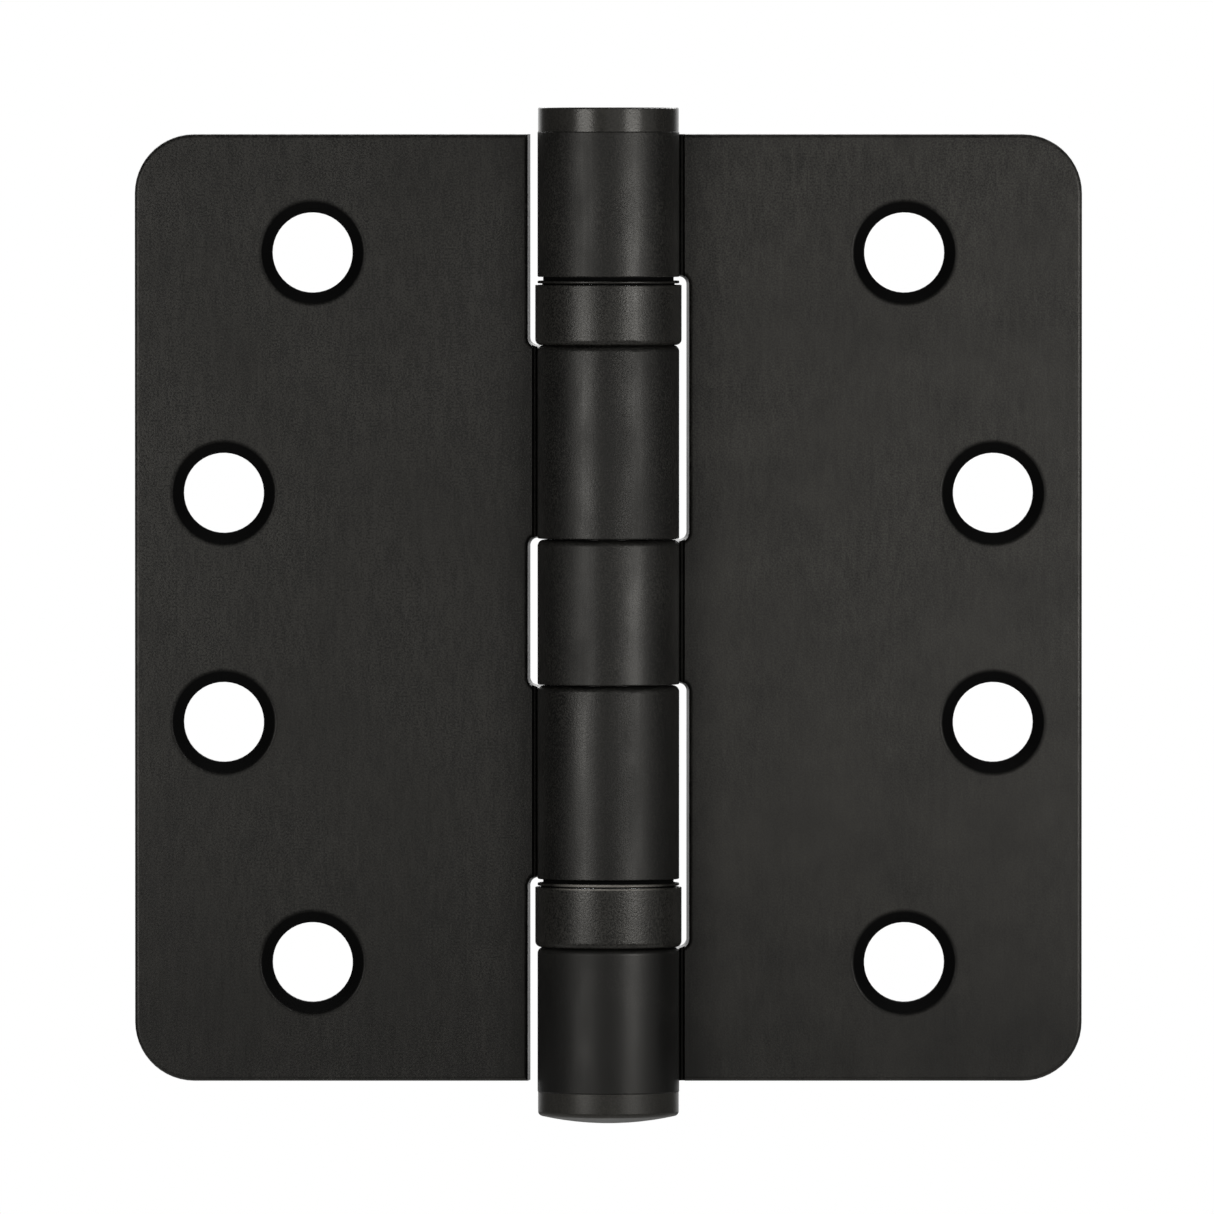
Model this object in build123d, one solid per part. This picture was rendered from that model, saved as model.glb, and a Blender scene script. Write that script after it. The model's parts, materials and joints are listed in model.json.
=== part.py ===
"""Five-knuckle ball-bearing butt hinge, opened flat, in millimetres.

The pin axis is the Z axis and the leaves lie either side of it, the fixed leaf towards +X and the
swinging leaf towards -X.  Their countersunk faces look towards -Y.  The origin is on the pin axis,
half way up the barrel.
"""
import os
from math import radians, sqrt, tan

from build123d import *

# Leaves
LEAF_HEIGHT = 101.6
OPEN_WIDTH = 101.6
LEAF_THICKNESS = 3.3
LEAF_LIFT = 0.42              # from the middle of the barrel up to the middle of the leaves
CLOSED_GAP = 1.6              # between the leaves' countersunk faces when the hinge is shut
CORNER_RADIUS = 6.35
FRONT_EDGE_ROUND = 0.45
BACK_EDGE_ROUND = 0.2
NECK_START = 5.0              # from the pin axis, buried in the knuckle's wall
NOTCH_EDGE = 8.36             # from the pin axis, at the back of the leaf
NOTCH_TAPER = 5.5             # the punch leaves the notch wider at the front by this angle a side
NOTCH_CORNER_RADIUS = 0.8
NOTCH_OVERRUN = 5.0           # how far the outline of an end notch reaches past the leaf

# Barrel: five rolled knuckles, with a bearing below the first and another above the last
KNUCKLE_RADIUS = 7.6
KNUCKLE_BORE_RADIUS = 4.35
KNUCKLE_UPPER_ROUND = 0.7
KNUCKLE_LOWER_ROUND = 0.12    # also at the top of the barrel, under the button
BARREL_TOP = 51.5
BEARING_TOP = 35.93
BEARING_BOTTOM = 28.63
CENTRE_KNUCKLE_TOP = 7.755
KNUCKLE_GAP = 0.12            # running gap between knuckles that turn past each other
ROLL_SLIT = 0.2               # between the end of a knuckle's roll and the face of its leaf
ROOT_GROOVE_WIDTH = 0.6       # where the face of a leaf bends away beside a knuckle
ROOT_GROOVE_DEPTH = 1.3
SWAGE_RADIUS = 3.0            # where the back of a leaf bends into its knuckles
SWAGE_END_ROUND = 0.3
SWAGE_ROOT = 1.0              # how deep the bend's outline reaches into the leaf

# Countersunk screw holes
HOLE_RADIUS = 4.3
COUNTERSINK_RADIUS = 5.525
COUNTERSINK_ANGLE = 82.0
COUNTERSINK_EDGE_ROUND = 0.35
MIDDLE_HOLE_INSET = 9.525     # from the leaf's outer edge
MIDDLE_HOLE_SPACING = 24.6
END_HOLE_INSET = 19.05
END_HOLE_SPACING = 76.2

# Pin and plug, each with a button head
PIN_RADIUS = 4.3
PRESS_FIT = 0.02              # radial interference
PIN_GRIP_LENGTH = 5.0         # swell below the head that holds the pin in the first knuckle
PIN_TIP_CHAMFER = 0.8
BUTTON_RADIUS = 7.55
PIN_HEAD_HEIGHT = 2.6
PIN_HEAD_ROUND = 0.2
PLUG_HEAD_HEIGHT = 3.35       # at the middle of its dome
PLUG_HEAD_ROUND = 0.5
PLUG_DOME_RADIUS = 33.0
PLUG_STEM_LENGTH = 6.0
PLUG_STEM_CHAMFER = 0.4
PLUG_HOLE_RADIUS = 1.6        # a punch goes in here to drive the pin out
PLUG_GAP = 0.5                # between the pin's tip and the plug

# Bearings
SHELL_RADIUS = 7.85
SHELL_WALL = 0.5
SHELL_CORNER_RADIUS = 0.6
SHELL_BORE_RADIUS = 4.6
FLANGE_RADIUS = 7.6
FLANGE_THICKNESS = 0.3
FLANGE_GAP = 0.15             # between the top race's flange and the shell's rim
HUB_RADIUS = 7.0
HUB_HEIGHT = 0.4              # of the top race's hub above its flange
RACE_BORE_RADIUS = 4.5
TOP_RACE_RADIUS = 7.1
BOTTOM_RACE_RADIUS = 7.3
EDGE_ROUND = 0.12
BALL_RADIUS = 0.992
BALL_COUNT = 12
BALL_PITCH_RADIUS = 5.9
BALL_CLEARANCE = 0.05
GROOVE_DEPTH = 0.35
CAGE_THICKNESS = 0.7
CAGE_RADIUS = 7.2

MATCH = 0.01                  # how closely an edge's size or height must agree for it to be picked

# Worked out from the sizes above
FRONT_FACE = CLOSED_GAP / 2
BACK_FACE = FRONT_FACE + LEAF_THICKNESS
LEAF_EDGE = OPEN_WIDTH / 2
LEAF_TOP = LEAF_LIFT + LEAF_HEIGHT / 2
LEAF_BOTTOM = LEAF_LIFT - LEAF_HEIGHT / 2
BEARING_HEIGHT = BEARING_TOP - BEARING_BOTTOM
FLANGE_HEIGHT = BEARING_HEIGHT - HUB_HEIGHT - FLANGE_THICKNESS
BALL_HEIGHT = (SHELL_WALL + FLANGE_HEIGHT) / 2
RACE_GAP = BALL_RADIUS + BALL_CLEARANCE - GROOVE_DEPTH
INNER_KNUCKLE_LOW = CENTRE_KNUCKLE_TOP + KNUCKLE_GAP
FIXED_KNUCKLES = (
    (-BARREL_TOP, -BEARING_TOP),
    (-CENTRE_KNUCKLE_TOP, CENTRE_KNUCKLE_TOP),
    (BEARING_TOP, BARREL_TOP),
)
SWINGING_KNUCKLES = (
    (-BEARING_BOTTOM, -INNER_KNUCKLE_LOW),
    (INNER_KNUCKLE_LOW, BEARING_BOTTOM),
)


def rod(radius, low, high):
    """A plain cylinder on the pin axis."""
    return Pos(0, 0, (low + high) / 2) * Cylinder(radius, high - low)


def round_edges(radius, low, high):
    """The circular edges of that radius on the pin axis, between two heights, as a test for an edge."""
    def wanted(edge):
        height = edge.center(CenterOf.BOUNDING_BOX).Z
        return abs(edge.radius - radius) < MATCH and low - MATCH < height < high + MATCH
    return wanted


def rounded(part, edge_radius, low, high, by):
    """The part with its circular edges of one radius, between two heights, rounded."""
    wanted = round_edges(edge_radius, low, high)
    return fillet([edge for edge in part.edges().filter_by(GeomType.CIRCLE) if wanted(edge)], by)


# Leaves

def gaps_between(knuckles):
    """The stretches of a leaf's height below, between and above its knuckles."""
    starts = [LEAF_BOTTOM - NOTCH_OVERRUN] + [high for low, high in knuckles]
    ends = [low for low, high in knuckles] + [LEAF_TOP + NOTCH_OVERRUN]
    return [(low, high) for low, high in zip(starts, ends) if low < LEAF_TOP and high > LEAF_BOTTOM]


def leaf_outline():
    """A leaf's flat outline before notching: X is the distance from the pin axis, and Y the height."""
    width = LEAF_EDGE - NECK_START
    outline = Pos(NECK_START + width / 2, LEAF_LIFT) * Rectangle(width, LEAF_HEIGHT)
    return fillet(outline.vertices().group_by(Axis.X)[-1], CORNER_RADIUS)


def notch(low, high):
    """What is punched out of a leaf between two heights, widening from the back to the front."""
    outline = RectangleRounded(2 * NOTCH_EDGE, high - low, NOTCH_CORNER_RADIUS)
    back = Plane.XZ.offset(-BACK_FACE) * Pos(0, (low + high) / 2) * outline
    return extrude(back, LEAF_THICKNESS, taper=-NOTCH_TAPER)


def screw_hole(distance, height):
    """What one countersunk hole takes out of a leaf."""
    depth = (COUNTERSINK_RADIUS - HOLE_RADIUS) / tan(radians(COUNTERSINK_ANGLE / 2))
    bore = rod(HOLE_RADIUS, -LEAF_THICKNESS, 0)
    cone = Pos(0, 0, -depth / 2) * Cone(HOLE_RADIUS, COUNTERSINK_RADIUS, depth)
    return Pos(distance, FRONT_FACE, height) * Rot(90, 0, 0) * (bore + cone)


def leaf_plate(knuckles):
    """A leaf's plate, with its holes, its notches and the necks that run into its knuckles."""
    plate = extrude(Plane.XZ.offset(-BACK_FACE) * leaf_outline(), LEAF_THICKNESS)
    for low, high in gaps_between(knuckles):
        plate -= notch(low, high)
    plate = fillet(plate.faces().sort_by(Axis.Y)[0].edges(), FRONT_EDGE_ROUND)
    plate = fillet(plate.faces().sort_by(Axis.Y)[-1].edges(), BACK_EDGE_ROUND)
    for side in (-1, 1):
        plate -= screw_hole(LEAF_EDGE - MIDDLE_HOLE_INSET, LEAF_LIFT + side * MIDDLE_HOLE_SPACING / 2)
        plate -= screw_hole(LEAF_EDGE - END_HOLE_INSET, LEAF_LIFT + side * END_HOLE_SPACING / 2)
    circles = plate.edges().filter_by(GeomType.CIRCLE)
    mouths = [edge for edge in circles if abs(edge.radius - COUNTERSINK_RADIUS) < MATCH]
    return fillet(mouths, COUNTERSINK_EDGE_ROUND)


def knuckle(low, high):
    """A rolled tube, slit where the end of the roll comes back to the face of the leaf."""
    upper_round = KNUCKLE_LOWER_ROUND if high == BARREL_TOP else KNUCKLE_UPPER_ROUND
    tube = rod(KNUCKLE_RADIUS, low, high)
    tube = rounded(tube, KNUCKLE_RADIUS, high, high, upper_round)
    tube = rounded(tube, KNUCKLE_RADIUS, low, low, KNUCKLE_LOWER_ROUND)
    tube -= rod(KNUCKLE_BORE_RADIUS, low, high)
    slit = Box(KNUCKLE_RADIUS, ROLL_SLIT, high - low, align=(Align.MIN, Align.MAX, Align.CENTER))
    return tube - Pos(KNUCKLE_BORE_RADIUS / 2, FRONT_FACE, (low + high) / 2) * slit


def swage(low, high):
    """The hollow bend between the back of a leaf and one of its knuckles."""
    centre_y = BACK_FACE + SWAGE_RADIUS
    centre_x = sqrt((KNUCKLE_RADIUS + SWAGE_RADIUS) ** 2 - centre_y ** 2)
    on_knuckle = KNUCKLE_RADIUS / (KNUCKLE_RADIUS + SWAGE_RADIUS)
    corners = (
        (centre_x, centre_y),
        (centre_x * on_knuckle, centre_y * on_knuckle),
        (NECK_START, BACK_FACE - SWAGE_ROOT),
        (centre_x, BACK_FACE),
    )
    outline = Polygon(*corners, align=None) - Pos(centre_x, centre_y) * Circle(SWAGE_RADIUS)
    bend = Pos(0, 0, low) * extrude(outline, high - low)
    return fillet(bend.edges().filter_by(GeomType.CIRCLE), SWAGE_END_ROUND)


def root_groove(low, high):
    """The round-bottomed groove in the face of a leaf along one of its knuckles."""
    radius = ROOT_GROOVE_WIDTH / 2
    straight = ROOT_GROOVE_DEPTH - radius
    length = high - low + 2 * NOTCH_CORNER_RADIUS
    sides = Box(ROOT_GROOVE_WIDTH, straight, length, align=(Align.CENTER, Align.MAX, Align.CENTER))
    groove = sides + Cylinder(radius, length)
    return Pos(KNUCKLE_RADIUS + radius, FRONT_FACE + straight, (low + high) / 2) * groove


def leaf(knuckles):
    """A whole leaf on the +X side of the pin."""
    blank = leaf_plate(knuckles)
    for low, high in knuckles:
        blank -= root_groove(low, high)
    for low, high in knuckles:
        blank += knuckle(low, high)
        blank += swage(max(low, LEAF_BOTTOM), min(high, LEAF_TOP))
    return blank


# Pin and plug

def hinge_pin():
    """The pin, from its flat button head down to a chamfered tip inside the last knuckle."""
    tip = -BARREL_TOP + PLUG_STEM_LENGTH + PLUG_GAP
    shaft = rod(PIN_RADIUS, tip, BARREL_TOP)
    shaft = chamfer(shaft.edges().group_by(Axis.Z)[0], PIN_TIP_CHAMFER)
    shaft += rod(KNUCKLE_BORE_RADIUS + PRESS_FIT, BARREL_TOP - PIN_GRIP_LENGTH, BARREL_TOP)
    top = BARREL_TOP + PIN_HEAD_HEIGHT
    return shaft + rounded(rod(BUTTON_RADIUS, BARREL_TOP, top), BUTTON_RADIUS, top, top, PIN_HEAD_ROUND)


def plug_head():
    """The button that closes the barrel's lower end, slightly domed underneath."""
    bottom = -BARREL_TOP - PLUG_HEAD_HEIGHT
    dome_centre = bottom + PLUG_DOME_RADIUS
    rim = dome_centre - sqrt(PLUG_DOME_RADIUS ** 2 - BUTTON_RADIUS ** 2)
    head = rod(BUTTON_RADIUS, bottom, -BARREL_TOP) & Pos(0, 0, dome_centre) * Sphere(PLUG_DOME_RADIUS)
    return rounded(head, BUTTON_RADIUS, rim, rim, PLUG_HEAD_ROUND)


def bottom_plug():
    """The plug's head, with a stem and a punch hole."""
    stem_top = -BARREL_TOP + PLUG_STEM_LENGTH
    stem = rod(KNUCKLE_BORE_RADIUS + PRESS_FIT, -BARREL_TOP, stem_top)
    stem = chamfer(stem.edges().group_by(Axis.Z)[-1], PLUG_STEM_CHAMFER)
    return stem + plug_head() - rod(PLUG_HOLE_RADIUS, -BARREL_TOP - PLUG_HEAD_HEIGHT, stem_top)


# Bearings, each built up from the height of its own underside

def ball_groove(underside):
    """The ring-shaped space that the balls run in."""
    return Pos(0, 0, underside + BALL_HEIGHT) * Torus(BALL_PITCH_RADIUS, BALL_RADIUS + BALL_CLEARANCE)


def bearing_shell(underside):
    """The drawn cup that holds the bottom race and shields the balls."""
    rim = underside + FLANGE_HEIGHT - FLANGE_GAP
    cup = rod(SHELL_RADIUS, underside, rim)
    cup = rounded(cup, SHELL_RADIUS, underside, underside, SHELL_CORNER_RADIUS)
    cup = rounded(cup, SHELL_RADIUS, rim, rim, EDGE_ROUND)
    cup -= rod(SHELL_RADIUS - SHELL_WALL, underside + SHELL_WALL, rim)
    return cup - rod(SHELL_BORE_RADIUS, underside, rim)


def bottom_race(underside):
    """The hardened ring on the floor of the shell, grooved on top."""
    low = underside + SHELL_WALL
    high = underside + BALL_HEIGHT - RACE_GAP
    race = rod(BOTTOM_RACE_RADIUS, low, high)
    race = rounded(race, BOTTOM_RACE_RADIUS, low, high, EDGE_ROUND)
    return race - rod(RACE_BORE_RADIUS, low, high) - ball_groove(underside)


def top_race(underside):
    """The hardened ring above the balls, grooved below, with a thin flange over the shell's rim."""
    low = underside + BALL_HEIGHT + RACE_GAP
    flange_low = underside + FLANGE_HEIGHT
    flange_high = flange_low + FLANGE_THICKNESS
    high = underside + BEARING_HEIGHT
    race = rounded(rod(TOP_RACE_RADIUS, low, flange_low), TOP_RACE_RADIUS, low, low, EDGE_ROUND)
    flange = rod(FLANGE_RADIUS, flange_low, flange_high)
    flange = rounded(flange, FLANGE_RADIUS, flange_low, flange_high, EDGE_ROUND)
    race += flange + rod(HUB_RADIUS, flange_high, high)
    return race - rod(RACE_BORE_RADIUS, low, high) - ball_groove(underside)


def ball(underside, index):
    """One of the balls, evenly spaced round the pin."""
    turn = Rot(0, 0, index * 360 / BALL_COUNT)
    return turn * Pos(BALL_PITCH_RADIUS, 0, underside + BALL_HEIGHT) * Sphere(BALL_RADIUS)


def ball_cage(underside):
    """The flat ring that keeps the balls apart."""
    middle = underside + BALL_HEIGHT
    low = middle - CAGE_THICKNESS / 2
    high = middle + CAGE_THICKNESS / 2
    cage = rod(CAGE_RADIUS, low, high) - rod(RACE_BORE_RADIUS, low, high)
    pocket = Pos(BALL_PITCH_RADIUS, 0, middle) * Cylinder(BALL_RADIUS + BALL_CLEARANCE, CAGE_THICKNESS)
    for index in range(BALL_COUNT):
        cage -= Rot(0, 0, index * 360 / BALL_COUNT) * pocket
    return cage


def bearing(name, underside):
    """All the pieces of one bearing, by name."""
    pieces = {
        f"{name}_shell": bearing_shell(underside),
        f"{name}_bottom_race": bottom_race(underside),
        f"{name}_top_race": top_race(underside),
        f"{name}_cage": ball_cage(underside),
    }
    for index in range(BALL_COUNT):
        pieces[f"{name}_ball_{index + 1:02d}"] = ball(underside, index)
    return pieces


def hinge():
    """Every piece of the hinge, by name."""
    return {
        "fixed_leaf": leaf(FIXED_KNUCKLES),
        "swinging_leaf": mirror(leaf(SWINGING_KNUCKLES), about=Plane.YZ),
        "hinge_pin": hinge_pin(),
        "bottom_plug": bottom_plug(),
        **bearing("upper_bearing", BEARING_BOTTOM),
        **bearing("lower_bearing", -BEARING_TOP),
    }


os.makedirs("parts", exist_ok=True)
for part_name, piece in hinge().items():
    export_step(piece, f"parts/{part_name}.step")
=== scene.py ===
"""Looks of the door hinge: its coating, its bearing metals, the floor, the lights and the camera."""

import json
import math

import bpy
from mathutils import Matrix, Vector


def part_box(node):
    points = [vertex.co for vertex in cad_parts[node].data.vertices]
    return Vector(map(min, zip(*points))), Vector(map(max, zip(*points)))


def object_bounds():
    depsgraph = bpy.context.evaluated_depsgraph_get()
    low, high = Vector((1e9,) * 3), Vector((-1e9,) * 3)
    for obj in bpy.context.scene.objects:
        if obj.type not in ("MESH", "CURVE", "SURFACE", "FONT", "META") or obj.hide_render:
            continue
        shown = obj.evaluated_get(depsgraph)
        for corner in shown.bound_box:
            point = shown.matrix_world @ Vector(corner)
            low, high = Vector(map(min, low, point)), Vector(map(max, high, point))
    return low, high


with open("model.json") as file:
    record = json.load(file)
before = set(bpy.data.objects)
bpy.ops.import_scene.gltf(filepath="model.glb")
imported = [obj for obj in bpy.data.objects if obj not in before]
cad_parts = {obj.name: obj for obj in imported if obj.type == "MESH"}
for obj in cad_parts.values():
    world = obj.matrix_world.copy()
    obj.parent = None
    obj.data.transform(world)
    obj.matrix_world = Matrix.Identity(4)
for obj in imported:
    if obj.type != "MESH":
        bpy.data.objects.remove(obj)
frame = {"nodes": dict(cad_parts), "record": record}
cad_low, cad_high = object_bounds()

MM = 0.001

# Places on the hinge, from the frame
fixed_low, fixed_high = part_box("fixed_leaf")
swinging_low, swinging_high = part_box("swinging_leaf")
KNUCKLE_RADIUS = -fixed_low.x
BARREL_TOP = fixed_high.z
BARREL_BOTTOM = fixed_low.z
LEAF_MIDDLE = (swinging_low.z + swinging_high.z) / 2
LEAF_BACK = frame["record"]["mounts"][0]["pos_m"][1]
COUNTERSINK_RATIO = 1.285      # the mouth of a screw hole to its bore

# Camera, in metres
CAMERA_DISTANCE = 2.4
CAMERA_RISE = 0.054            # above the leaves' middle
CAMERA_REACH = 20.0
FRAMED_WIDTH = 0.1302          # what the picture spans at the hinge
AIM_LEFT = 0.00015
AIM_UP = 0.0001                # above the leaves' middle
SENSOR_WIDTH = 36.0

# Floor and studio, in metres
FLOOR_DROP = 0.30
FLOOR_SIZE = 6.0
FLOOR_CLOUD = 0.4
FLOOR_LIT = 0.95               # how bright the floor looks to the camera
FLOOR_LIT_SHARE = 0.85         # how much of that doesn't come from the lights
FRONT_GLOW = 0.20              # how bright the studio looks from the hinge, ahead of it
SIDE_GLOW = 0.06
BEHIND_GLOW = 1.0
AHEAD = (-1.0, 0.1)            # where it is ahead and behind, from -1 straight ahead to 1 straight back
BEHIND = (0.75, 0.95)
SOFTBOX_GLOW = 6.6

# Colours
COATING = (0.0118, 0.0112, 0.0098)
# Near-black: the painted shade in screw holes and on hubs, and the dark end of the coating's shades
SHADE_BLACK = (0.0008, 0.0008, 0.0007, 1.0)
# Bronze of rubbed edges, also used for the painted highlights on the bearings' rims
COATING_WEAR_AND_HIGHLIGHT = (0.24, 0.225, 0.20, 1.0)
COATING_GLOSS = (1.0, 0.975, 0.92, 1.0)
STEEL = (0.56, 0.57, 0.58, 1.0)
STEEL_OILED = (0.30, 0.28, 0.25, 1.0)
BRASS = (0.70, 0.50, 0.22, 1.0)
BRASS_TARNISHED = (0.34, 0.21, 0.09, 1.0)
WHITE = (1.0, 1.0, 1.0, 1.0)
FLOOR = (0.86, 0.86, 0.85, 1.0)
FLOOR_DARKER = (0.82, 0.82, 0.81, 1.0)

# How wide the patches and lines of each texture are
GRAIN = 0.20 * MM
CLOUD = 7.0 * MM
WEAR_PATCH = 1.6 * MM
BRUSHING = 0.5 * MM
FIGURE = 0.65 * MM
FIGURED_AREA = 18.0 * MM
ROLLING = 0.4 * MM
DRAWING = 0.5 * MM
PATINA = 4.0 * MM
TURNING = 0.15 * MM
GRINDING = 0.12 * MM
OIL_FILM = 3.0 * MM
GREASE = 0.8 * MM
TARNISH = 1.5 * MM
SCRATCH = 0.1 * MM

# Detail and roughness of the noises
SOFT = (2.0, 0.5)
EVEN = (3.0, 0.5)
FINE = (3.0, 0.6)
GRAINY = (2.0, 0.65)
GRITTY = (3.0, 0.65)
MOTTLED = (4.0, 0.65)

# How fast a texture changes along its lines, as a share of how fast it does across them
DRAWN_OUT = 0.03
BRUSHED_OUT = 0.08
SCRATCHED_OUT = 0.1
FIGURED_OUT = 0.25
PATINA_OUT = 0.35

# How deep the textures are cut
GRAIN_DEPTH = GRAIN * 0.04
GRINDING_DEPTH = 0.002 * MM
GREASE_DEPTH = 0.001 * MM
SCRATCH_DEPTH = 0.003 * MM

# How high lines stand beside the grain
TURNED_LINES = 0.3
FLANGE_LINES = 0.6
SHELL_LINES = 0.4

# Reaches of rubbed edges, painted shade and painted highlights
EDGE_WEAR = 0.12 * MM
EDGE_SHARPNESS = 0.86          # cosine of the turn that makes a full edge
HUB_SHADE = (0.25 * MM, 0.45 * MM)     # where the painted shade on the hub starts and is full, in from the flange's edge
FLANGE_HIGHLIGHT = (0.14 * MM, 0.04 * MM)   # the same for the painted highlight on the flange's rim
SHELL_HIGHLIGHT = (0.22 * MM, 0.10 * MM)    # and for the painted highlight on a shell, down from its rim
BARREL_BLEND = 0.3 * MM        # from the knuckles' finish to the flat's
BARREL_REACH = 5.0 * MM        # painted shade darkens the leaf this near the barrel
BOTTOM_START = 0.4             # painted shade darkens the leaf from here down, as a share of the barrel's bottom
HOLE_SHADE_OUTSIDE = 0.35 * MM       # where the painted shade of a countersink ends, outside its mouth
HOLE_SHADE_INSIDE = 0.15 * MM        # and where it is full, inside
BACK_CLEAR = 0.1 * MM          # from the leaf's back to the painted shade in a hole
BACK_FADE = 0.2 * MM
FRONT_START = 0.80             # where the barrel's front begins, as shares of its radius
FRONT_FULL = 0.45

# Shades: 0.5 is the coating's own colour, 0 is black and 1 twice as pale
CLOUD_SHADES = (0.35, 0.65)
STREAK = 0.27                  # this and the next two are added to it
PAINTED_BARREL_SHADE = -0.35
PAINTED_BOTTOM_SHADE = -0.3

# Strengths, from none at 0 to full at 1
FIGURED_LEAST = 0.4            # of a leaf's figure, where it is faintest
FIGURED_BELOW = 0.45           # and near the bottom
EDGE_WORN = 0.05
UPPER_RIM_HIGHLIGHT = 0.03              # of the painted highlight on a bearing's rims
LOWER_RIM_HIGHLIGHT = 1.0
STEEL_OILINESS = 0.6
BALL_OILINESS = 0.5

# Roughness of each finish
FLAT_ROUGHNESS = (0.46, 0.38)
KNUCKLE_ROUGHNESS = (0.50, 0.42)
SHELL_ROUGHNESS = (0.31, 0.38)
BALL_ROUGHNESS = (0.07, 0.22)
BRASS_ROUGHNESS = (0.28, 0.48)
PIN_ROUGHNESS = 0.24
PLUG_ROUGHNESS = 0.36
FLANGE_ROUGHNESS = 0.34
RACE_ROUGHNESS = 0.22
HUB_ROUGHNESS = 0.25
BLACK_ROUGHNESS = 0.85
BLACK_GLOSS = 0.12
GRAIN_ROUGHENS = 0.08
CLOUD_ROUGHENS = 0.03
PATINA_ROUGHENS = 0.05
LINES_ROUGHEN = 0.02
OIL_ROUGHENS = (-0.04, 0.08)

# The range that most values of a noise lie in, for noises of more and less contrast
WIDE = (0.3, 0.7)
MIDDLE = (0.35, 0.65)
NARROW = (0.37, 0.63)
PATCHY = (0.4, 0.7)
OILY = (0.4, 0.75)
GREASY = (0.45, 0.8)
SMEARED = (0.4, 0.8)


class Graph:
    """The node tree of a material or a world, with short calls for making nodes and links."""

    def __init__(self, owner):
        owner.use_nodes = True
        self.tree = owner.node_tree
        self.tree.nodes.clear()

    def feed(self, socket, value):
        if isinstance(value, bpy.types.NodeSocket):
            self.tree.links.new(value, socket)
        else:
            socket.default_value = value

    def node(self, kind, inputs=None, **settings):
        made = self.tree.nodes.new(kind)
        for name, value in settings.items():
            setattr(made, name, value)
        for name, value in (inputs or {}).items():
            self.feed(made.inputs[name], value)
        return made

    # Numbers

    def math(self, operation, first, second=0.0):
        return self.node("ShaderNodeMath", {0: first, 1: second}, operation=operation).outputs[0]

    def add(self, total, *others):
        for other in others:
            total = self.math("ADD", total, other)
        return total

    def product(self, total, *others):
        for other in others:
            total = self.math("MULTIPLY", total, other)
        return total

    def ramp(self, value, low, high, to_low=0.0, to_high=1.0):
        """The value carried from one range to another, held at the ends."""
        inputs = {"Value": value, "From Min": low, "From Max": high, "To Min": to_low, "To Max": to_high}
        return self.node("ShaderNodeMapRange", inputs).outputs["Result"]

    def spread(self, noise, to_low, to_high, within=WIDE):
        """A noise carried from the range that it lies in to another."""
        return self.ramp(noise, within[0], within[1], to_low, to_high)

    # Places

    def place(self):
        """The point being shaded, in the hinge's own frame."""
        return self.node("ShaderNodeTexCoord").outputs["Object"]

    def parts(self, vector):
        return self.node("ShaderNodeSeparateXYZ", {0: vector}).outputs

    def vector(self, x, y, z):
        return self.node("ShaderNodeCombineXYZ", {0: x, 1: y, 2: z}).outputs[0]

    def length(self, vector):
        return self.node("ShaderNodeVectorMath", {0: vector}, operation="LENGTH").outputs["Value"]

    def stretched(self, vector, x, y, z):
        return self.node("ShaderNodeMapping", {"Vector": vector, "Scale": (x, y, z)}).outputs[0]

    def from_axis(self, vector):
        """Distance from the pin's axis."""
        x, y, z = self.parts(vector)
        return self.length(self.vector(x, y, 0.0))

    # Textures

    def noise(self, vector, size, character=SOFT):
        """Noise from 0 to 1 whose patches are about `size` metres across."""
        detail, roughness = character
        inputs = {"Vector": vector, "Scale": 1 / size, "Detail": detail, "Roughness": roughness}
        return self.node("ShaderNodeTexNoise", inputs).outputs["Fac"]

    def upright_noise(self, vector, size, drawn_out, character=SOFT):
        """Noise drawn out up the hinge."""
        return self.noise(self.stretched(vector, 1.0, 1.0, drawn_out), size, character)

    def edges(self, width):
        """1 on edges as wide as that, and 0 on flat and gently curved faces."""
        soft = self.node("ShaderNodeBevel", {"Radius": width}, samples=6).outputs["Normal"]
        sharp = self.node("ShaderNodeNewGeometry").outputs["Normal"]
        product = self.node("ShaderNodeVectorMath", {0: soft, 1: sharp}, operation="DOT_PRODUCT")
        return self.ramp(product.outputs["Value"], 1.0, EDGE_SHARPNESS)

    # Surfaces

    def mix(self, factor, first, second):
        made = self.node("ShaderNodeMix", data_type="RGBA")
        for socket, value in zip((made.inputs[0], made.inputs[6], made.inputs[7]), (factor, first, second)):
            self.feed(socket, value)
        return made.outputs[2]

    def mix_numbers(self, factor, first, second):
        return self.node("ShaderNodeMix", {0: factor, 2: first, 3: second}).outputs[0]

    def bump(self, height, depth):
        inputs = {"Strength": 1.0, "Distance": depth, "Height": height}
        return self.node("ShaderNodeBump", inputs).outputs["Normal"]

    def shader(self, inputs):
        return self.node("ShaderNodeBsdfPrincipled", inputs).outputs[0]

    def blend(self, factor, first, second):
        return self.node("ShaderNodeMixShader", {0: factor, 1: first, 2: second}).outputs[0]

    def output(self, surface, kind="ShaderNodeOutputMaterial"):
        self.node(kind, {"Surface": surface})


# Textures

def screw_holes(side):
    """The middles of the screw holes on one side of the pin, as x and z, and their radius."""
    holes = []
    for mount in frame["record"]["mounts"]:
        x, y, z = mount["pos_m"]
        if mount["kind"] == "bolt_pattern" and x * side > 0:
            half = mount["dims"]["spacing_y_mm"] * MM / 2
            radius = mount["dims"]["hole_r_mm"] * MM
            holes += [(x, z - half, radius), (x, z + half, radius)]
    return holes


def from_nearest_hole(graph, vector, side):
    """Distance from the axis of the nearest screw hole."""
    x, y, z = graph.parts(vector)
    nearest = 1.0
    for hole_x, hole_z, radius in screw_holes(side):
        offset = graph.vector(graph.math("SUBTRACT", x, hole_x), 0.0, graph.math("SUBTRACT", z, hole_z))
        nearest = graph.math("MINIMUM", nearest, graph.length(offset))
    return nearest


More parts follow.
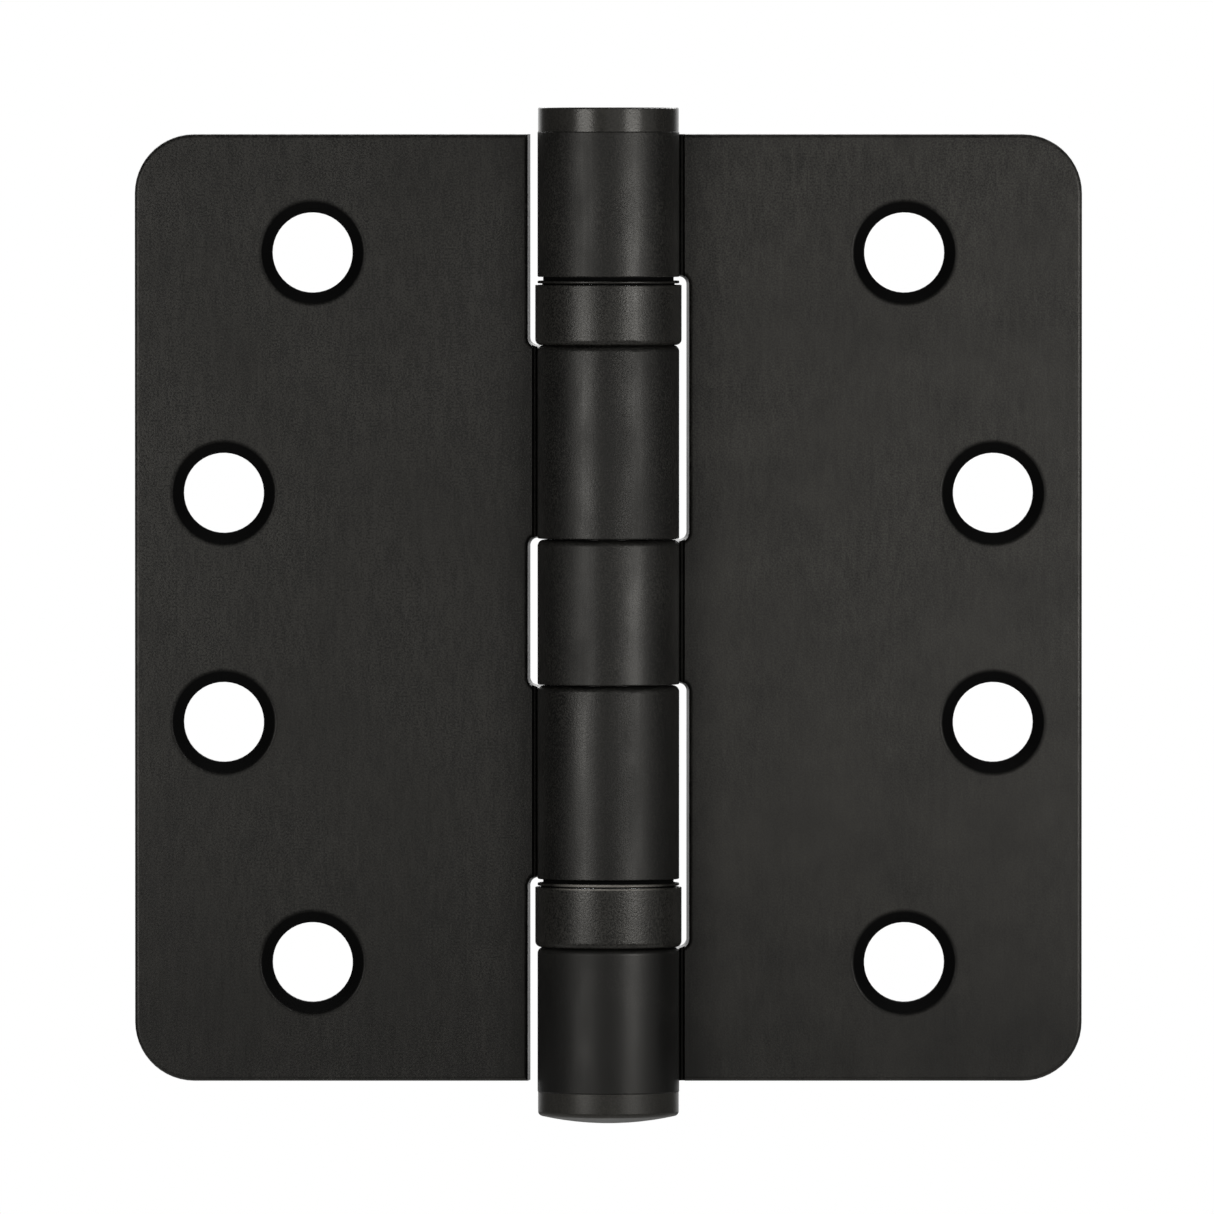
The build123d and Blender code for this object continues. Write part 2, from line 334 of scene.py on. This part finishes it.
def painted_hole_shade(graph, vector, side):
    """Mask of the painted shade in the screw holes: 1 in them, fading to 0 just round their countersunk
    mouths and on the leaf's back.
    """
    mouth = screw_holes(side)[0][2] * COUNTERSINK_RATIO
    distance = from_nearest_hole(graph, vector, side)
    inside = graph.ramp(distance, mouth + HOLE_SHADE_OUTSIDE, mouth - HOLE_SHADE_INSIDE)
    black_starts = LEAF_BACK - BACK_CLEAR
    off_back = graph.ramp(graph.parts(vector)[1], black_starts, black_starts - BACK_FADE)
    return graph.product(inside, off_back)


def at_front(graph, vector):
    """1 on the middle of the barrel's front, fading to 0 at its sides."""
    sideways = graph.math("ABSOLUTE", graph.parts(vector)[0])
    return graph.ramp(sideways, KNUCKLE_RADIUS * FRONT_START, KNUCKLE_RADIUS * FRONT_FULL)


def lathe_rings(graph, vector, size):
    """Fine rings round the pin's axis, as turning leaves them."""
    height = graph.parts(vector)[2]
    return graph.noise(graph.vector(graph.from_axis(vector), 0.0, height), size, FINE)


def draw_lines(graph, vector, size):
    """Fine lines up and down a drawn or rolled tube."""
    return graph.upright_noise(vector, size, DRAWN_OUT, FINE)


def worn_edges(graph, vector):
    """Thin patchy rubbed spots along sharp edges."""
    patches = graph.noise(vector, WEAR_PATCH)
    return graph.product(graph.edges(EDGE_WEAR), graph.spread(patches, 0.0, EDGE_WORN, PATCHY))


# Materials

def new_graph(name):
    """A new material and its empty node tree."""
    material = bpy.data.materials.new(name)
    return material, Graph(material)


def toned(color, factor):
    """A colour made paler or deeper."""
    return tuple(channel * factor for channel in color) + (1.0,)


def coated(graph, vector, roughness, relief, tone, contrast, wear_and_highlight, shading=0.0):
    """Satin dark coating with a fine grain of that contrast, cloudy patches, and bronze on rubbed edges and
    painted highlights.
    """
    grain = graph.noise(vector, GRAIN, GRAINY)
    grained = graph.product(graph.spread(grain, -0.5, 0.5, NARROW), contrast)
    cloud = graph.noise(vector, CLOUD, FINE)
    shade = graph.add(grained, graph.spread(cloud, *CLOUD_SHADES), shading)
    color = graph.mix(shade, SHADE_BLACK, toned(COATING, 2 * tone))
    cloud_roughens = graph.spread(cloud, CLOUD_ROUGHENS, -CLOUD_ROUGHENS)
    return graph.shader({
        # Bronze on rubbed edges and on the bearings' painted rim highlights
        "Base Color": graph.mix(wear_and_highlight, color, COATING_WEAR_AND_HIGHLIGHT),
        "Roughness": graph.add(roughness, cloud_roughens, graph.product(grained, GRAIN_ROUGHENS)),
        "Normal": graph.bump(graph.add(grained, relief), GRAIN_DEPTH),
        "Specular Tint": COATING_GLOSS,
    })


def painted_shade(graph):
    """Matt black, painted as shade in the screw holes and on the top races' hubs."""
    return graph.shader({
        "Base Color": SHADE_BLACK,
        "Roughness": BLACK_ROUGHNESS,
        "Specular IOR Level": BLACK_GLOSS,
    })


def steel(graph, vector, roughness):
    """Ground steel with a thin film of oil."""
    film = graph.noise(vector, OIL_FILM, FINE)
    oily = graph.spread(film, 0.0, STEEL_OILINESS, OILY)
    return graph.shader({
        "Base Color": graph.mix(oily, STEEL, STEEL_OILED),
        "Roughness": graph.add(roughness, graph.spread(film, *OIL_ROUGHENS)),
        "Normal": graph.bump(lathe_rings(graph, vector, GRINDING), GRINDING_DEPTH),
        "Metallic": 1.0,
    })


def knuckle_roughness(graph, vector, side):
    """Roughness of the rolled knuckles: smoother on the leaf's side, uneven and faintly lined."""
    towards_leaf = graph.product(graph.parts(vector)[0], side)
    rolled = graph.ramp(towards_leaf, -KNUCKLE_RADIUS / 3, KNUCKLE_RADIUS / 3, *KNUCKLE_ROUGHNESS)
    patina = graph.upright_noise(vector, PATINA, PATINA_OUT)
    uneven = graph.spread(patina, -PATINA_ROUGHENS, PATINA_ROUGHENS, MIDDLE)
    lines = draw_lines(graph, vector, ROLLING)
    return graph.add(rolled, uneven, graph.spread(lines, -LINES_ROUGHEN, LINES_ROUGHEN))


def figured(graph, vector):
    """How strong a leaf's grain and figure are: patchy, and strongest near the top."""
    area = graph.noise(vector, FIGURED_AREA)
    height = graph.parts(vector)[2]
    by_height = graph.ramp(height, BARREL_BOTTOM / 2, BARREL_TOP / 2, FIGURED_BELOW, 1.0)
    return graph.product(graph.spread(area, FIGURED_LEAST, 1.0, MIDDLE), by_height)


def leaf_shading(graph, vector, strength, on_flat):
    """Upright streaks on the flat of a leaf, and painted shade by the barrel and towards the bottom."""
    figure = graph.upright_noise(vector, FIGURE, FIGURED_OUT, GRITTY)
    streaks = graph.product(graph.spread(figure, -STREAK, STREAK), strength, on_flat)
    outwards = graph.from_axis(vector)
    height = graph.parts(vector)[2]
    # Painted shade beside the barrel, where the knuckles shadow the leaf.
    painted_barrel_shade = graph.ramp(outwards, KNUCKLE_RADIUS, KNUCKLE_RADIUS + BARREL_REACH, PAINTED_BARREL_SHADE, 0.0)
    # Painted shade towards the bottom, where the lights fall off.
    painted_bottom_shade = graph.ramp(height, BARREL_BOTTOM * BOTTOM_START, BARREL_BOTTOM, 0.0, PAINTED_BOTTOM_SHADE)
    return graph.add(streaks, painted_barrel_shade, painted_bottom_shade)


def leaf_coating(side, tone, contrast):
    """Coating of a leaf: brushed lengthways on the flat, rolled on the knuckles, with matt black painted
    shade in the holes.
    """
    material, graph = new_graph("coated_leaf")
    place = graph.place()
    on_barrel = graph.ramp(graph.from_axis(place), KNUCKLE_RADIUS + BARREL_BLEND, KNUCKLE_RADIUS)
    on_flat = graph.math("SUBTRACT", 1.0, on_barrel)
    brushing = graph.upright_noise(place, BRUSHING, BRUSHED_OUT, GRITTY)
    flat_roughness = graph.spread(brushing, *FLAT_ROUGHNESS)
    strength = graph.product(figured(graph, place), contrast)

    face = coated(
        graph, place,
        roughness=graph.mix_numbers(on_barrel, flat_roughness, knuckle_roughness(graph, place, side)),
        relief=graph.product(brushing, on_flat),
        tone=tone,
        contrast=strength,
        wear_and_highlight=worn_edges(graph, place),
        shading=leaf_shading(graph, place, strength, on_flat),
    )
    # The screw holes get matt black painted shade.
    graph.output(graph.blend(painted_hole_shade(graph, place, side), face, painted_shade(graph)))
    return material


def turned_coating(name, roughness):
    """Coating of a turned piece, a little paler for being polished."""
    material, graph = new_graph(name)
    place = graph.place()
    rings = graph.product(lathe_rings(graph, place, TURNING), TURNED_LINES)
    wear_and_highlight = worn_edges(graph, place)
    graph.output(coated(graph, place, roughness, rings, tone=2.2, contrast=0.3, wear_and_highlight=wear_and_highlight))
    return material


def top_race_coating(bearing, rim_highlight):
    """Coating on a top race's flange, with a painted highlight at its rim and painted shade on its hub, and
    bare steel below them.
    """
    material, graph = new_graph(f"{bearing}_top_race")
    place = graph.place()
    radius = graph.from_axis(place)
    flange_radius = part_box(f"{bearing}_top_race")[1].x
    on_hub = graph.ramp(radius, *(flange_radius - inwards for inwards in HUB_SHADE))
    # Painted highlight on the flange's rim, in the bronze of rubbed edges, only on the barrel's front.
    on_rim = graph.ramp(radius, *(flange_radius - inwards for inwards in FLANGE_HIGHLIGHT), 0.0, rim_highlight)
    wear_and_highlight = graph.product(on_rim, at_front(graph, place))
    rings = graph.product(lathe_rings(graph, place, TURNING), FLANGE_LINES)
    flange = coated(graph, place, FLANGE_ROUGHNESS, rings, tone=1.0, contrast=0.6, wear_and_highlight=wear_and_highlight)

    shell_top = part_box(f"{bearing}_shell")[1].z
    below = graph.math("LESS_THAN", graph.parts(place)[2], shell_top)
    # The recessed hub gets matt black painted shade.
    above = graph.blend(on_hub, flange, painted_shade(graph))
    graph.output(graph.blend(below, above, steel(graph, place, HUB_ROUGHNESS)))
    return material


def shell_coating(bearing, rim_highlight):
    """Coating of a drawn bearing shell, with a painted highlight along its rim."""
    material, graph = new_graph(f"{bearing}_shell")
    place = graph.place()
    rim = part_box(f"{bearing}_shell")[1].z
    height = graph.parts(place)[2]
    # Painted highlight along the shell's rim, in the bronze of rubbed edges, only on the barrel's front.
    on_rim = graph.ramp(height, *(rim - down for down in SHELL_HIGHLIGHT), 0.0, rim_highlight)
    wear_and_highlight = graph.product(on_rim, at_front(graph, place))
    lines = draw_lines(graph, place, DRAWING)
    roughness = graph.spread(lines, *SHELL_ROUGHNESS)
    relief = graph.product(lines, SHELL_LINES)
    graph.output(coated(graph, place, roughness, relief, tone=1.3, contrast=1.0, wear_and_highlight=wear_and_highlight))
    return material


def race_steel():
    """Ground steel of a bottom race."""
    material, graph = new_graph("race_steel")
    graph.output(steel(graph, graph.place(), RACE_ROUGHNESS))
    return material


def ball_steel():
    """Polished steel balls with a faint film of grease."""
    material, graph = new_graph("ball_steel")
    film = graph.noise(graph.place(), GREASE, FINE)
    greasy = graph.spread(film, 0.0, BALL_OILINESS, GREASY)
    graph.output(graph.shader({
        "Base Color": graph.mix(greasy, STEEL, STEEL_OILED),
        "Roughness": graph.spread(film, *BALL_ROUGHNESS, SMEARED),
        "Normal": graph.bump(film, GREASE_DEPTH),
        "Metallic": 1.0,
    }))
    return material


def cage_brass():
    """Stamped brass, tarnished in patches."""
    material, graph = new_graph("cage_brass")
    place = graph.place()
    tarnish = graph.noise(place, TARNISH, MOTTLED)
    scratches = graph.noise(graph.stretched(place, 1.0, SCRATCHED_OUT, 1.0), SCRATCH)
    graph.output(graph.shader({
        "Base Color": graph.mix(graph.spread(tarnish, 0.0, 1.0, PATCHY), BRASS, BRASS_TARNISHED),
        "Roughness": graph.spread(tarnish, *BRASS_ROUGHNESS),
        "Normal": graph.bump(scratches, SCRATCH_DEPTH),
        "Metallic": 1.0,
    }))
    return material


def dress(piece, material):
    piece.data.materials.clear()
    piece.data.materials.append(material)


def dress_bearing(bearing, rim_highlight, race, ball, brass):
    """Materials of one bearing, with a painted highlight of that strength on its flange and rim."""
    nodes = frame["nodes"]
    dress(nodes[f"{bearing}_shell"], shell_coating(bearing, rim_highlight))
    dress(nodes[f"{bearing}_top_race"], top_race_coating(bearing, rim_highlight))
    dress(nodes[f"{bearing}_bottom_race"], race)
    dress(nodes[f"{bearing}_cage"], brass)
    for node, piece in nodes.items():
        if node.startswith(f"{bearing}_ball_"):
            dress(piece, ball)


def dress_hinge():
    nodes = frame["nodes"]
    # The fixed leaf's paler tone is painted light: it stands in for that leaf being lit more brightly than
    # the swinging one.
    dress(nodes["fixed_leaf"], leaf_coating(side=1, tone=1.9, contrast=0.9))
    dress(nodes["swinging_leaf"], leaf_coating(side=-1, tone=1.1, contrast=2.2))
    dress(nodes["hinge_pin"], turned_coating("coated_pin", PIN_ROUGHNESS))
    dress(nodes["bottom_plug"], turned_coating("coated_plug", PLUG_ROUGHNESS))
    metals = (race_steel(), ball_steel(), cage_brass())
    dress_bearing("upper_bearing", UPPER_RIM_HIGHLIGHT, *metals)
    dress_bearing("lower_bearing", LOWER_RIM_HIGHLIGHT, *metals)


# Studio

def floor():
    """A pale matt floor that can be seen only from above, and looks lit without lighting the hinge."""
    bpy.ops.mesh.primitive_plane_add(size=FLOOR_SIZE, location=(0, 0, cad_low.z - FLOOR_DROP))
    plane = bpy.context.object
    plane.name = "floor"
    material, graph = new_graph("floor")
    color = graph.mix(graph.noise(graph.place(), FLOOR_CLOUD, EVEN), FLOOR, FLOOR_DARKER)
    matt = graph.node("ShaderNodeBsdfDiffuse", {"Color": color}).outputs[0]
    lit = graph.node("ShaderNodeEmission", {"Color": color, "Strength": FLOOR_LIT}).outputs[0]
    seen = graph.node("ShaderNodeLightPath").outputs["Is Camera Ray"]
    above = graph.blend(graph.product(seen, FLOOR_LIT_SHARE), matt, lit)
    clear = graph.node("ShaderNodeBsdfTransparent").outputs[0]
    from_below = graph.node("ShaderNodeNewGeometry").outputs["Backfacing"]
    graph.output(graph.blend(from_below, above, clear))
    dress(plane, material)


def studio_world():
    """White to the camera; to the hinge, dim ahead of it and bright behind it."""
    world = bpy.data.worlds.new("studio")
    bpy.context.scene.world = world
    graph = Graph(world)
    direction = graph.node("ShaderNodeTexCoord").outputs["Generated"]
    away = graph.parts(direction)[1]
    ahead = graph.ramp(away, *AHEAD, FRONT_GLOW, SIDE_GLOW)
    behind = graph.ramp(away, *BEHIND, 0.0, BEHIND_GLOW)
    glow = graph.add(ahead, behind)
    surround = graph.node("ShaderNodeBackground", {"Color": WHITE, "Strength": glow}).outputs[0]
    backdrop = graph.node("ShaderNodeBackground", {"Color": WHITE, "Strength": 1.0}).outputs[0]
    seen = graph.node("ShaderNodeLightPath").outputs["Is Camera Ray"]
    graph.output(graph.blend(seen, surround, backdrop), "ShaderNodeOutputWorld")


def aim(thing, place, target):
    thing.location = place
    thing.rotation_mode = "QUATERNION"
    thing.rotation_quaternion = (target - place).to_track_quat("-Z", "Y")


def softbox(name, azimuth, elevation, distance, size, glow):
    """A rectangular light aimed at the hinge. Azimuth 0 is in front of it, and 90 to its right."""
    width, height = size
    light = bpy.data.lights.new(name, "AREA")
    light.shape = "RECTANGLE"
    light.size = width
    light.size_y = height
    light.energy = glow * math.pi * width * height
    lamp = bpy.data.objects.new(name, light)
    bpy.context.scene.collection.objects.link(lamp)
    round_z, up = math.radians(azimuth), math.radians(elevation)
    level = math.cos(up)
    place = Vector((math.sin(round_z) * level, -math.cos(round_z) * level, math.sin(up))) * distance
    aim(lamp, place, Vector((0, 0, 0)))
    lamp.visible_camera = False


def lights():
    """Two near softboxes that draw the barrel's highlights, with fills, and one behind for the back."""
    softbox("left_box", azimuth=-39, elevation=1.7, distance=0.34, size=(0.145, 0.09), glow=SOFTBOX_GLOW)
    softbox("right_box", azimuth=40, elevation=2.0, distance=0.28, size=(0.12, 0.09), glow=SOFTBOX_GLOW)
    softbox("right_fill", azimuth=68, elevation=2.0, distance=0.5, size=(0.25, 0.3), glow=0.3)
    softbox("front_fill", azimuth=9, elevation=4, distance=0.3, size=(0.14, 0.09), glow=0.52)
    softbox("behind", azimuth=180, elevation=36, distance=0.9, size=(1.0, 0.60), glow=3.2)


def camera():
    """Far off and almost straight ahead, a little above the hinge."""
    lens = bpy.data.cameras.new("camera")
    eye = bpy.data.objects.new("camera", lens)
    bpy.context.scene.collection.objects.link(eye)
    bpy.context.scene.camera = eye
    target = Vector((-AIM_LEFT, 0, LEAF_MIDDLE + AIM_UP))
    place = Vector((-AIM_LEFT, -CAMERA_DISTANCE, LEAF_MIDDLE + CAMERA_RISE))
    aim(eye, place, target)
    lens.sensor_width = SENSOR_WIDTH
    lens.lens = SENSOR_WIDTH * (target - place).length / FRAMED_WIDTH
    lens.clip_end = CAMERA_REACH


dress_hinge()
floor()
studio_world()
lights()
camera()
bpy.context.scene.view_settings.view_transform = "Standard"
